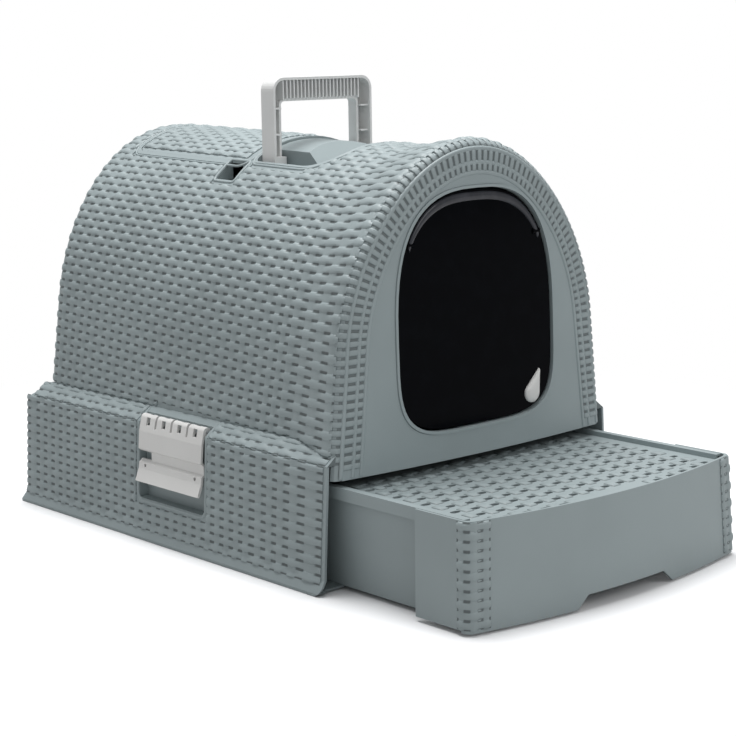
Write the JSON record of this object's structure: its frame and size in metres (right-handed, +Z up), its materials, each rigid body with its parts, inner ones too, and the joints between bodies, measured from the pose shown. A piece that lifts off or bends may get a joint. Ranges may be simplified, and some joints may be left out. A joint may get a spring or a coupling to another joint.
{
  "type": "hooded litter box",
  "caption": "Hooded cat litter box with a swing door, a pull-out litter drawer with a step sieve, a folding handle, side clips and a lidded storage compartment.",
  "frame": {"origin": "centre of the floor under the part's bounding box, with the drawer pulled out as pictured", "axes": "+Z up, front and drawer towards -Y, width along X, rear towards +Y"},
  "size_m": [0.385, 0.6766, 0.4445],
  "materials": {
    "sage_plastic": "moulded polypropylene, satin, with a woven relief on the outer walls",
    "light_grey_plastic": "moulded polypropylene, satin",
    "smoke_panel": "smoked, glossy sheet",
    "steel": "drawn wire",
    "carbon_fleece": "needled carbon fleece"
  },
  "bodies": {
    "housing": {"base_housing": "sage_plastic", "hood_shell": "sage_plastic", "front_panel": "sage_plastic", "door_frame": "sage_plastic", "handle_bed": "sage_plastic", "handle_pins": "steel", "filter_cover": "sage_plastic", "carbon_filter": "carbon_fleece", "filter_grille": "sage_plastic", "storage_tray": "sage_plastic", "lid_hinge_rod": "steel", "litter_scoop": "light_grey_plastic", "clip_axle_left": "steel", "clip_axle_right": "steel"},
    "drawer": {"drawer_pan": "sage_plastic", "drawer_front": "sage_plastic", "step_sieve": "sage_plastic"},
    "door": {"swing_door": "smoke_panel", "door_hinge_pins": "steel", "door_pull_tab": "light_grey_plastic"},
    "handle": {"carry_handle": "light_grey_plastic"},
    "lid": {"storage_lid": "sage_plastic"},
    "left_clip": {"clip_left": "light_grey_plastic"},
    "right_clip": {"clip_right": "light_grey_plastic"}
  },
  "joints": [
    {"name": "drawer_slide", "type": "slide", "parent": "housing", "child": "drawer", "axis": [0, 1, 0], "range_m": [-0.2, 0.162]},
    {"name": "door_swing", "type": "hinge", "parent": "housing", "child": "door", "pos_m": [0, -0.15148, 0.29976], "axis": [1, 0, 0], "range_deg": [-75, 75]},
    {"name": "handle_fold", "type": "hinge", "parent": "housing", "child": "handle", "pos_m": [0, 0.06476, 0.35899], "axis": [1, 0, 0], "range_deg": [0, 88]},
    {"name": "lid_hinge", "type": "hinge", "parent": "housing", "child": "lid", "pos_m": [0.0732, 0.18061, 0.36514], "axis": [0, 0.9996, 0.027], "range_deg": [0, 100]},
    {"name": "left_clip_hinge", "type": "hinge", "parent": "housing", "child": "left_clip", "pos_m": [-0.1768, 0.07626, 0.119], "axis": [0, 1, 0], "range_deg": [0, 70]},
    {"name": "right_clip_hinge", "type": "hinge", "parent": "housing", "child": "right_clip", "pos_m": [0.1768, 0.07626, 0.119], "axis": [0, -1, 0], "range_deg": [0, 70]}
  ]
}
